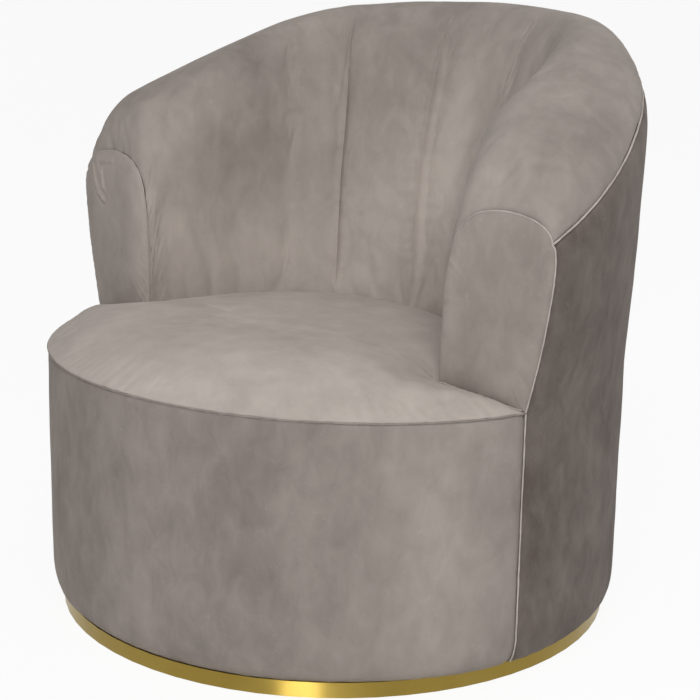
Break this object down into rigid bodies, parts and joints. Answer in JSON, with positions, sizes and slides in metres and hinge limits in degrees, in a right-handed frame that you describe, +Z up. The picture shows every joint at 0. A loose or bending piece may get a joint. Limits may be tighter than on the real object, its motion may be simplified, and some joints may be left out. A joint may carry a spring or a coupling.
{
  "type": "swivel tub chair",
  "caption": "Round upholstered tub chair with a padded wrap-around back and low arms, turning on a slim metal-banded plinth.",
  "frame": {"origin": "on the floor, on the swivel axis", "axes": "+Z up along the swivel axis; at rest the sitter faces -Y and the sitter's left arm is at +X"},
  "size_m": [0.8066, 0.7442, 0.754],
  "materials": {
    "velvet": "crushed velvet, short pile",
    "brass_ring": "polished gold-coloured band",
    "zinc_steel": "zinc plated",
    "spring_steel": "black oiled wire",
    "plywood": "raw plywood",
    "hardboard": "raw hardboard",
    "foam": "open-cell foam",
    "felt": "needled felt",
    "lining": "non-woven lining"
  },
  "bodies": {
    "base": {"base_ring": "brass_ring", "base_disc": "plywood", "glide_1": "felt", "glide_2": "felt", "glide_3": "felt", "glide_4": "felt", "swivel_lower_plate": "zinc_steel", "ball_cage": "zinc_steel", "plinth_screw_1": "zinc_steel", "plinth_screw_2": "zinc_steel", "plinth_screw_3": "zinc_steel", "plinth_screw_4": "zinc_steel"},
    "tub": {"swivel_upper_plate": "zinc_steel", "tub_screw_1": "zinc_steel", "tub_screw_2": "zinc_steel", "tub_screw_3": "zinc_steel", "tub_screw_4": "zinc_steel", "bottom_board": "plywood", "dust_cover": "lining", "drum_post_1": "plywood", "drum_post_2": "plywood", "drum_post_3": "plywood", "drum_post_4": "plywood", "drum_post_5": "plywood", "drum_post_6": "plywood", "deck_board": "plywood", "seat_spring_1": "spring_steel", "seat_spring_2": "spring_steel", "seat_spring_3": "spring_steel", "seat_spring_4": "spring_steel", "spring_pad": "felt", "seat_foam": "foam", "seat_cover": "velvet", "back_panel": "hardboard", "drum_hoop": "hardboard", "back_rib_1": "plywood", "back_rib_2": "plywood", "back_rib_3": "plywood", "back_rib_4": "plywood", "back_rib_5": "plywood", "back_rib_6": "plywood", "back_rib_7": "plywood", "top_rail": "plywood", "back_foam": "foam", "inside_cover": "velvet", "outer_cover": "velvet", "front_band": "velvet", "arm_panel_left": "velvet", "arm_panel_right": "velvet", "arm_pad_left": "foam", "arm_pad_right": "foam", "arm_board_left": "plywood", "arm_board_right": "plywood", "rim_piping": "velvet", "seat_piping": "velvet"}
  },
  "joints": [
    {"name": "swivel", "type": "hinge", "parent": "base", "child": "tub", "pos_m": [0, 0, 0.0232], "axis": [0, 0, 1], "continuous": true}
  ]
}
